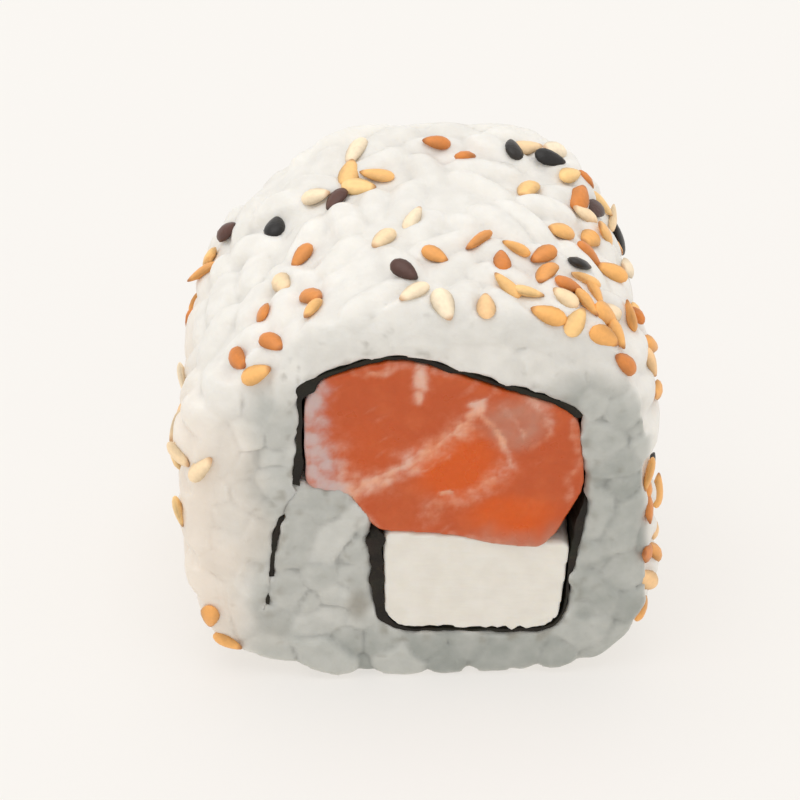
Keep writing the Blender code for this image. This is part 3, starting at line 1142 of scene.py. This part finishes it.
# the flakes lie slantwise, so the pattern drifts across as it goes back through the roll
back = points[:, 1] + HALF
across, up = on_section(points)
x = across - back * DRIFT_ACROSS
x += wander(points, 2.4 * MM) * 0.6 + wander(points, 0.8 * MM, 11.0) * 0.3
z = up + back * DRIFT_UP
z += wander(points, 2.4 * MM, 5.0) * 0.5 + wander(points, 0.8 * MM, 15.0) * 0.3
fat_and_glint_share = np.zeros(len(points))
for strength, half_width, route in FAT_AND_GLINT_LINES.values():
    broken = 0.85 + 0.55 * wander(points, 0.9 * MM, half_width * 9)
    broken += 0.3 * wander(points, 0.35 * MM, half_width * 7)
    wide = half_width * (1 + 0.45 * wander(points, 1.6 * MM, half_width * 5))
    fat_and_glint_share = np.maximum(fat_and_glint_share, line_share(x, z, route, wide) * strength * broken)
slant = points @ np.array([[0.8, 0, -0.6], [0, 1, 0], [0.6, 0, 0.8]]) * np.array([0.16, 0.3, 1.0])
veins = ramp(wander(slant, 0.6 * MM, 21.0), 0.15, 0.6)
veins *= ramp(wander(points, 2.2 * MM, 31.0), -0.2, 0.5)
fat_and_glint_share = np.clip(np.maximum(fat_and_glint_share, veins * 0.4), 0, 1)
bright_share = ramp(np.hypot((x - 2.4) / 1.2, z - 19.6), 4.2, 1.5)
bright_share = np.maximum(bright_share, ramp(np.hypot((x - 6.2) / 1.9, z - 15.4), 2.6, 0.8))
bright_share = np.clip(bright_share + 0.25 * ramp(np.hypot(x + 4.5, z - 21.5), 4, 1), 0, 1)
blush_share = ramp(np.hypot((x - 6.6) / 1.15, z - 23.4), 3.0, 1.2)
blush_share = np.maximum(blush_share, 0.9 * ramp(13.6 - z, -1.2, 0.8) * ramp(x, 1.5, 5.0))
blush_share *= 0.85 + 0.35 * wander(points, 1.0 * MM, 12.0)
print("fat, mean share:", fat_and_glint_share.mean().round(3))

# %% [markdown]
# No light may shine through the roll where salmon, cheese and seaweed meet on the right. So both
# fillings are let out there, but only well inside the roll, where nobody sees it.

# %% No gap inside the roll
SQUEEZED_OUT = 0.7 * MM


def squeezed_shut(points):
    """How far a filling is let out at each of these points."""
    x, z = on_section(points)
    inside = 1 - ramp(np.abs(points[:, 1]), HALF - 4 * MM, HALF - 2.5 * MM)
    return SQUEEZED_OUT * inside * spot(x, z, 10.3, 13.5, 1.2)


# %% Relief of the salmon
sideways = 1 - np.abs(ways[:, 1])
side_growth = (0.26 + 0.08 * wander(points, 1.5 * MM, 23.0)) * MM * sideways
facing = ramp(np.abs(points[:, 1]), HALF - 0.5 * MM, HALF - 0.05 * MM)
swell = 0.30 * (1 - fat_and_glint_share) - 0.12 + 0.14 * wander(points, 3 * MM, 2.0)
swell += 0.03 * wander(points, 0.7 * MM, 7.0)
points = points + ways * (side_growth + squeezed_shut(points))[:, None]
points[:, 1] += np.sign(points[:, 1]) * facing * swell * MM
# the lower edge hangs over the front of the cheese
over = points[:, 0] - FACE_ZERO
droop = ramp(over, 0.5 * MM, 6.0 * MM) * (1 - ramp(over, 8.2 * MM, 9.8 * MM))
droop *= ramp(-points[:, 1], HALF - 1.4 * MM, HALF - 0.2 * MM)
droop *= 1 - ramp(points[:, 2], 12.9 * MM, 15.6 * MM)
points[:, 2] -= droop * 0.45 * MM
points[:, 1] -= droop * 0.28 * MM
move_points(salmon_mesh, points)
paint(salmon_mesh, "fat", fat_and_glint_share)
paint(salmon_mesh, "bright", bright_share)
paint(salmon_mesh, "blush", np.clip(blush_share, 0, 1))
paint(salmon_mesh, "skin", ramp(-x, 5.4, 7.6))
salmon_mesh.shade_smooth()
hand_over("salmon_slab", salmon_mesh, raw_salmon, "salmon", "salmon")
print("salmon triangles:", triangle_count(salmon_mesh))

# %% [markdown]
# ## Cream cheese
# A stick of cream cheese, cut with a wet knife: ivory, dense and matt, with soft edges, faint
# drag lines from the blade and a ragged lower lip where the blade left it.

# %% The finish of the cheese
ivory_cheese = Finish(
    "ivory_cheese",
    ior=1.42,
    subsurface_weight=0.35,
    subsurface_radius=(1.0, 0.85, 0.6),
    subsurface_scale=0.8 * MM,
)
curd = ivory_cheese.cloud(1.8 * MM, 4)
drag = ivory_cheese.cloud(0.5 * MM, 3, 0.6, ivory_cheese.stretched(7.0, 1.0, 0.8))
ivory = ivory_cheese.colour(curd.step(0.3, 0.7), rgb(0.79, 0.745, 0.665), rgb(0.83, 0.79, 0.715))
ivory_cheese.set("Base Color", ivory_cheese.dim(ivory, 0.985 + drag * 0.03))
ivory_cheese.set("Roughness", 0.46 + curd * 0.14)
ivory_cheese.set("Normal", ivory_cheese.bump(drag, 0.05 * MM))

# %% Sculpt the cheese
CHEESE_VOXEL = 0.22 * MM
CHEESE_GROWTH = 0.2 * MM  # out to the seaweed

cheese_mesh = even_skin(merged_copy("cream_cheese"), CHEESE_VOXEL, 2)
points = points_of(cheese_mesh)
ways = normals_of(cheese_mesh)
facing = ramp(np.abs(points[:, 1]), HALF - 0.6 * MM, HALF - 0.1 * MM)
growth = CHEESE_GROWTH * (1 - np.abs(ways[:, 1])) + squeezed_shut(points)
points += ways * growth[:, None]
points[:, 1] += np.sign(points[:, 1]) * facing * (0.05 + 0.08 * wander(points, 4 * MM, 1.0)) * MM
points += ways * (wander(points, 1.2 * MM, 4.0) * 0.05 * MM)[:, None]
# the blade drags a ragged lip of cheese down over the seaweed, most of all low on the right
ragged = ramp(6.4 * MM - points[:, 2], 0, 1.2 * MM) * facing
ragged *= np.maximum(wander(points, 0.75 * MM, 6.0), 0)
ragged *= 0.3 + 0.7 * ramp(points[:, 0] - FACE_ZERO, 3 * MM, 7 * MM)
points[:, 2] -= ragged * 0.5 * MM
points[:, 1] += np.sign(points[:, 1]) * ragged * 0.2 * MM
move_points(cheese_mesh, points)
cheese_mesh.shade_smooth()
hand_over("cheese_stick", cheese_mesh, ivory_cheese, "cream_cheese", "cream_cheese")
print("cheese triangles:", triangle_count(cheese_mesh))

# %% [markdown]
# ## Nori
# One sheet of toasted seaweed goes round both fillings like a figure six, and its outer end is a
# tail buried in the rice. Damp rice swells it unevenly, and the knife leaves its edge ragged.
# Its middle line is read from the CAD strip; the sheet is a grid of points along that line and
# along the roll, given a thickness that varies, with both sides and all four edges closed.

# %% The seaweed's middle line
def spread_evenly(line, count):
    run = np.concatenate([[0], np.cumsum(np.hypot(*np.diff(line, axis=0).T))])
    marks = np.linspace(0, run[-1], count)
    return np.stack([np.interp(marks, run, line[:, k]) for k in range(2)], 1)


STRIP_WIDTH = 0.5 * MM  # of the CAD's seaweed


def middle_line(loop, step):
    """From a thin strip's outline, points along its middle, from its low left end."""
    sides = np.roll(loop, -1, axis=0) - loop
    way = sides / np.hypot(*sides.T)[:, None]
    far_turn = (np.roll(way, 2, axis=0) * np.roll(way, -1, axis=0)).sum(1)
    across = np.hypot(*(np.roll(loop, -1, axis=0) - np.roll(loop, 1, axis=0)).T)
    tips = np.where((far_turn < -0.9) & (np.abs(across - STRIP_WIDTH) < 0.1 * MM))[0]
    print("strip ends at:", (loop[tips] / MM).round(1).tolist())
    a, b = tips[0], tips[-1]
    one = spread_evenly(loop[a + 1 : b], 900)
    two = spread_evenly(np.concatenate([loop[b + 1 :], loop[:a]])[::-1], 3000)
    partner = ((one[:, None] - two[None]) ** 2).sum(-1).argmin(1)
    middle = (one + two[partner]) / 2
    if middle[0, 0] > middle[-1, 0]:
        middle = middle[::-1]
    run = np.hypot(*np.diff(middle, axis=0).T).sum()
    return spread_evenly(middle, int(run / step))


seaweed_line = middle_line(outlines("nori", MIDDLE_CUT)[0], 0.22 * MM)
print("points along the seaweed:", len(seaweed_line))

# %% The finish of the seaweed
toasted_nori = Finish("toasted_nori", ior=1.35)
weave = toasted_nori.cloud(0.3 * MM, 4, 0.6)
patches = toasted_nori.cloud(2.5 * MM, 3)
rim_brown = toasted_nori.attribute("brown")
patchy = patches.step(0.4, 0.65)
green_black = toasted_nori.colour(patchy, rgb(0.012, 0.009, 0.006), rgb(0.016, 0.016, 0.009))
green_black = toasted_nori.colour(weave.step(0.5, 0.8) * 0.5, green_black, rgb(0.05, 0.042, 0.022))
toasted_nori.set("Base Color", toasted_nori.colour(rim_brown, green_black, rgb(0.13, 0.050, 0.030)))
toasted_nori.set("Roughness", 0.5 + weave * 0.3)
toasted_nori.set("Normal", toasted_nori.bump(weave, 0.09 * MM))

# %% How thick the seaweed is
# (across, up, extra thickness, reach), in mm: places where the sheet is made thicker, or thinner where
# the extra is negative
SWELLINGS = (
    (-9.1, 26.7, 1.20, 0.85),
    (-11.8, 15.6, 0.35, 0.8),
    (-12.0, 13.2, 0.30, 0.5),
    (-12.2, 9.4, 0.30, 0.5),
    (-10.0, 19.6, 0.45, 1.6),
    (-10.6, 17.9, 0.55, 1.0),
    (-9.3, 23.5, 0.20, 1.6),
    (-4.6, 12.2, 1.25, 1.7),
    (-4.5, 8.9, 0.85, 1.9),
    (2.5, 4.3, -0.10, 3.0),
    (10.0, 7.0, -0.12, 2.5),
    (-3.6, 5.4, 0.30, 1.3),
    (11.2, 13.4, 0.55, 1.7),
    (10.7, 10.6, 0.25, 1.4),
    (7.4, 26.4, 0.22, 1.2),
    (10.6, 24.4, 0.30, 1.1),
    (1.6, 28.4, 0.15, 1.0),
)
PLAIN_THICKNESS = 0.27
LEAST_THICKNESS = 0.12


def seaweed_thickness(points):
    """In mm, with its folds and swellings."""
    x, z = on_section(points)
    thick = np.full(len(x), PLAIN_THICKNESS)
    for across, up, extra, size in SWELLINGS:
        thick += extra * spot(x, z, across, up, size)
    return thick


# %% The seaweed sheet
def sheet_stations():
    """Places along the roll: close together by the cut edges, wide apart between them."""
    edge = np.array([0, 0.06, 0.16, 0.32, 0.55, 0.9, 1.4]) * MM
    inner = np.arange(-HALF + 2.2 * MM, HALF - 1.6 * MM, 0.9 * MM)
    return np.concatenate([-HALF + edge, inner, HALF - edge[::-1]])


stations = sheet_stations()
rows, columns = len(seaweed_line), len(stations)
way = np.gradient(seaweed_line, axis=0)
way /= np.hypot(*way.T)[:, None]
outward = np.stack([-way[:, 1], way[:, 0]], 1)
grid = np.empty((rows, columns, 3))
grid[..., 0] = seaweed_line[:, None, 0]
grid[..., 1] = stations[None]
grid[..., 2] = seaweed_line[:, None, 1]
flat_grid = grid.reshape(-1, 3)

thick = seaweed_thickness(flat_grid)
thick *= 1 + 0.6 * wander(flat_grid, 1.2 * MM, 1.0) + 0.4 * wander(flat_grid, 0.5 * MM, 2.0)
thick = np.maximum(thick, LEAST_THICKNESS).reshape(rows, columns)
thick[1:-1] = (thick[:-2] + thick[1:-1] * 2 + thick[2:]) / 4
thick = thick.reshape(-1)
sway = 0.10 * wander(flat_grid, 1.7 * MM, 3.0) + 0.05 * wander(flat_grid, 0.7 * MM, 7.0)
sway += pushed_out(flat_grid)
tail, covered = buried(flat_grid)
proud = -0.18 + 0.4 * np.clip(thick - 0.4, 0, 0.8) - 0.12 * tail - 1.3 * covered
proud += 0.12 * wander(flat_grid * np.array([1, 0, 1]), 0.7 * MM, 4.0)
near_end = ramp(np.abs(flat_grid[:, 1]), HALF - 1.6 * MM, HALF)
flat_grid[:, 1] += np.sign(flat_grid[:, 1]) * proud * near_end * MM

# %% Close the sheet into a solid
lift = outward[:, None, :] * ((thick / 2 + sway) * MM).reshape(rows, columns)[..., None]
sink = outward[:, None, :] * ((-thick / 2 + sway) * MM).reshape(rows, columns)[..., None]
outer = grid.copy()
outer[..., [0, 2]] += lift
inner = grid.copy()
inner[..., [0, 2]] += sink
count = rows * columns
faces = []
for r in range(rows - 1):
    for c in range(columns - 1):
        a, b = r * columns + c, (r + 1) * columns + c
        faces.append((a, b, b + 1, a + 1))
        faces.append((count + a, count + a + 1, count + b + 1, count + b))
for r in range(rows - 1):
    for a in (r * columns, r * columns + columns - 1):
        faces.append((a, a + columns, count + a + columns, count + a))
for c in range(columns - 1):
    for a in (c, (rows - 1) * columns + c):
        faces.append((a, a + 1, count + a + 1, count + a))
seaweed_mesh = bpy.data.meshes.new("seaweed")
solid_points = np.concatenate([outer.reshape(-1, 3), inner.reshape(-1, 3)])
seaweed_mesh.from_pydata(solid_points.tolist(), [], faces)
shell = bmesh.new()
shell.from_mesh(seaweed_mesh)
bmesh.ops.recalc_face_normals(shell, faces=shell.faces)
print("open edges:", sum(1 for edge in shell.edges if not edge.is_manifold))
shell.to_mesh(seaweed_mesh)
shell.free()

# %% Finish the seaweed
points = points_of(seaweed_mesh)
outer_side = np.arange(len(points)) < count
x, z = on_section(points)
wedge = np.exp(-(((x + 5.3) / 0.5) ** 2) - ((z - 10.8) / 2.6) ** 2)
brown = wedge * outer_side * 0.8 + 0.12 * wander(points, 1.4 * MM)
paint(seaweed_mesh, "brown", np.clip(brown, 0, 1))
seaweed_mesh.shade_smooth()
seaweed_mesh.set_sharp_from_angle(angle=math.radians(50))
hand_over("seaweed_sheet", seaweed_mesh, toasted_nori, "nori", "nori")
print("seaweed triangles:", triangle_count(seaweed_mesh))

# %% [markdown]
# ## Sesame seeds
# Toasted sesame is mostly golden, with some paler hulls and some black seeds. A seed is a flat
# teardrop, 2.7 mm long: round at one end and pointed at the other. One Geometry Nodes recipe
# makes it from a sphere and sets a copy on every point, turned by that point's attribute; each
# kind of seed is then one piece with its own finish. Each point also carries a `shade`, so that
# no two neighbours have been toasted alike.

# %% The seed recipe
SEED_SIZE = {"Length": 2.7 * MM, "Width": 1.65 * MM, "Thickness": 0.85 * MM}


def seed_recipe(name, material, taper):
    """Copies of a seed whose pointed end is thinner by this share."""
    recipe = Recipe(name, Around=10, Along=8, **SEED_SIZE, Taper=taper)
    rings = {"Segments": recipe.given("Around"), "Rings": recipe.given("Along"), "Radius": 1.0}
    ball = recipe.node("GeometryNodeMeshUVSphere", {}, rings)
    side, face, along = recipe.place_parts()
    slim = (1 - along * recipe.given("Taper")) * (1 - along * along * 0.12)
    long_way = along * recipe.given("Length") / 2
    wide_way = side * slim * recipe.given("Width") / 2
    thick_way = face * slim * (1 - side * side * 0.35) * recipe.given("Thickness") / 2
    for label, value in (("tip", along), ("rim", side * side)):
        ball = recipe.node(
            "GeometryNodeStoreNamedAttribute",
            {"data_type": "FLOAT", "domain": "POINT"},
            {"Geometry": ball, "Name": label, "Value": value},
        )
    seed = recipe.moved(ball, long_way, wide_way, thick_way)
    smooth = {"Geometry": seed, "Shade Smooth": True}
    seed = recipe.node("GeometryNodeSetShadeSmooth", {}, smooth)
    recipe.finish(recipe.copies(seed), material)
    return recipe


# %% The finishes of the seeds
def toasted(name, hull, deep, pale, tip, roughness):
    """A hull whose colour runs from deep to pale, seed by seed, with a darker tip and rim."""
    finish = Finish(name, ior=1.45)
    shade = finish.attribute("shade")
    speck = finish.cloud(0.35 * MM, 3)
    colour = finish.colour(shade.step(0.0, 0.5), deep, hull)
    colour = finish.colour(shade.step(0.5, 1.0), colour, pale)
    rim = finish.attribute("rim")
    point = finish.attribute("tip").step(0.62, 0.98)
    colour = finish.dim(colour, 1.16 - rim * 0.48 + (speck - 0.5) * 0.3)
    finish.set("Base Color", finish.colour(point * 0.75, colour, tip))
    finish.set("Roughness", roughness + speck * 0.15)
    finish.set("Normal", finish.bump(speck, 0.05 * MM))
    return finish


golden_hull = toasted(
    "golden_hull",
    hull=rgb(0.87, 0.44, 0.13),
    deep=rgb(0.66, 0.22, 0.045),
    pale=rgb(0.93, 0.62, 0.27),
    tip=rgb(0.30, 0.09, 0.03),
    roughness=0.36,
)
pale_hull = toasted(
    "pale_hull",
    hull=rgb(0.90, 0.68, 0.42),
    deep=rgb(0.88, 0.56, 0.28),
    pale=rgb(0.92, 0.78, 0.58),
    tip=rgb(0.50, 0.24, 0.10),
    roughness=0.40,
)
black_hull = toasted(
    "black_hull",
    hull=rgb(0.022, 0.018, 0.015),
    deep=rgb(0.012, 0.010, 0.009),
    pale=rgb(0.10, 0.040, 0.028),
    tip=rgb(0.05, 0.035, 0.025),
    roughness=0.30,
)

# %% [markdown]
# ## Sowing the seeds
# The roll was rolled over a tray of seeds, so they lie in drifts: thick on the upper right
# shoulder, thin on the left. Each patch below says where its middle is (the angle round the
# roll, with 90 on top, and the distance behind the front cut face), how far it spreads, and how
# many seeds of each kind it holds. A ray from outside finds the rice there, and its four
# neighbours give the slope that the seed lies on.

# %% Patches of seeds
# angle, spread of angle, distance in mm, spread in mm, golden, pale, black
PATCHES = {
    "drift on the shoulder": (60, 6, 4.5, 2.2, 12, 2, 1),
    "front of the shoulder": (54, 5, 1.8, 0.8, 3, 0, 0),
    "black by the rim": (49, 1, 1.6, 0.2, 0, 0, 1),
    "ridge of the shoulder": (50, 4, 13, 4, 5, 1, 0),
    "far ridge": (51, 5, 21.5, 2.5, 4, 1, 2),
    "pair on top": (86, 4, 8.3, 0.8, 2, 0, 0),
    "black on top": (96, 1, 4.4, 0.3, 0, 0, 1),
    "front top": (90, 13, 2.6, 1.2, 0, 3, 0),
    "middle top": (100, 10, 12, 2.0, 0, 2, 0),
    "far top": (78, 12, 23.5, 1.8, 2, 1, 1),
    "far left top": (112, 7, 20.5, 2.0, 3, 1, 1),
    "left shoulder": (124, 7, 4.6, 2.0, 3, 1, 0),
    "left rim": (141, 6, 2.4, 1.0, 3, 0, 0),
    "far left shoulder": (136, 8, 17, 4, 1, 1, 1),
    "left flank": (176, 10, 6, 4, 2, 3, 0),
    "far left flank": (172, 18, 19, 5, 5, 2, 1),
    "low left": (208, 10, 14, 8, 5, 1, 1),
    "right flank": (20, 14, 7, 4, 8, 2, 1),
    "far right flank": (14, 18, 19, 5, 10, 2, 3),
    "low right": (332, 9, 13, 8, 8, 1, 1),
    "low right rim": (345, 12, 2, 1.2, 4, 1, 0),
}


def on_rice(tree, angle, y):
    """Where a ray from outside meets the rice."""
    way = Vector((math.cos(angle), 0, math.sin(angle)))
    start = Vector((ACROSS, y, AXIS_UP)) + way * 40 * MM
    return tree.ray_cast(start, -way)[0]


def seat(tree, angle, y):
    """A place on the rice and the way out from it, levelled over the size of a seed."""
    step = 0.9 * MM
    turn = step / (17 * MM)
    moves = ((0, 0), (turn, 0), (-turn, 0), (0, step), (0, -step))
    hits = [on_rice(tree, angle + da, y + dy) for da, dy in moves]
    if any(hit is None for hit in hits):
        return None
    middle, left, right, back, front = hits
    out = (left - right).cross(front - back).normalized()
    level = (left + right + back + front + middle * 2) / 6
    return level, out


# %% Sow
SEED_GAP = 1.6 * MM
FROM_FACE = 1.3 * MM  # no seed nearer to a cut face
FROM_FLOOR = 1.6 * MM
SEED_RISE = 0.2 * MM  # a seed's middle over the rice, less than half its thickness
TRIES = 400

rice_tree = BVHTree.FromObject(rice, bpy.context.evaluated_depsgraph_get())
sowing = np.random.default_rng(29)
seeds = {"golden": [], "pale": [], "black": []}
taken = []
for angle, angle_spread, back, back_spread, *counts in PATCHES.values():
    for kind, count in zip(seeds, counts):
        sown = 0
        for _ in range(TRIES):
            if sown == count:
                break
            around = math.radians(sowing.normal(angle, angle_spread))
            y = -HALF + sowing.normal(back, back_spread) * MM
            place = seat(rice_tree, around, float(np.clip(y, FROM_FACE - HALF, HALF - FROM_FACE)))
            if place is None:
                continue
            level, out = place
            crowded = any((level - other).length < SEED_GAP for other in taken)
            if level.z < FROM_FLOOR or crowded:
                continue
            taken.append(level)
            sown += 1
            heading = Quaternion(out, sowing.uniform(0, math.tau))
            tilt = Quaternion((1, 0, 0), sowing.normal(0, 0.2))
            tilt = tilt @ Quaternion((0, 1, 0), sowing.normal(0, 0.1))
            aim = heading @ out.to_track_quat("Z", "X") @ tilt
            shade = sowing.uniform(0, 1)
            size = sowing.normal(1, 0.07)
            seeds[kind].append((level + out * SEED_RISE, aim, shade, size))
print({kind: len(found) for kind, found in seeds.items()})

# %% Make each kind of seed
# each kind's finish, and how much thinner its pointed end is
KINDS = {"golden": (golden_hull, 0.34), "pale": (pale_hull, 0.30), "black": (black_hull, 0.36)}
OFF_FLOOR = 0.02 * MM

for kind, (hull, taper) in KINDS.items():
    middles, aims, shades, lengths = zip(*seeds[kind])
    sizes = []
    for size in lengths:
        sizes.append((size, size * sowing.uniform(0.9, 1.08), sowing.uniform(0.8, 1.1)))
    turns = [tuple(aim.to_euler()) for aim in aims]
    cloud = point_cloud(kind + "_points", middles, turn=turns, size=sizes)
    paint(cloud, "shade", shades)
    seed_mesh = seed_recipe(kind + "_seeds", hull.material, taper).run(cloud)
    points = points_of(seed_mesh)
    points[:, 2] = np.maximum(points[:, 2], OFF_FLOOR)
    move_points(seed_mesh, points)
    hand_over(kind + "_sesame", seed_mesh, hull, kind + "_sesame")
    print(kind, "seeds:", len(middles), "faces:", len(seed_mesh.polygons))

# %% [markdown]
# ## Sizes
# The frame's box and the finished object's box are set side by side, and how far each corner grew
# is printed.

# %% Compare the sizes
made_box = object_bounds()
sizes = {"cad": [list(corner) for corner in cad_box], "made": [list(corner) for corner in made_box]}
for cad_corner, made_corner in zip(cad_box, made_box):
    print("grew by, mm:", [round((b - a) / MM, 2) for a, b in zip(cad_corner, made_corner)])
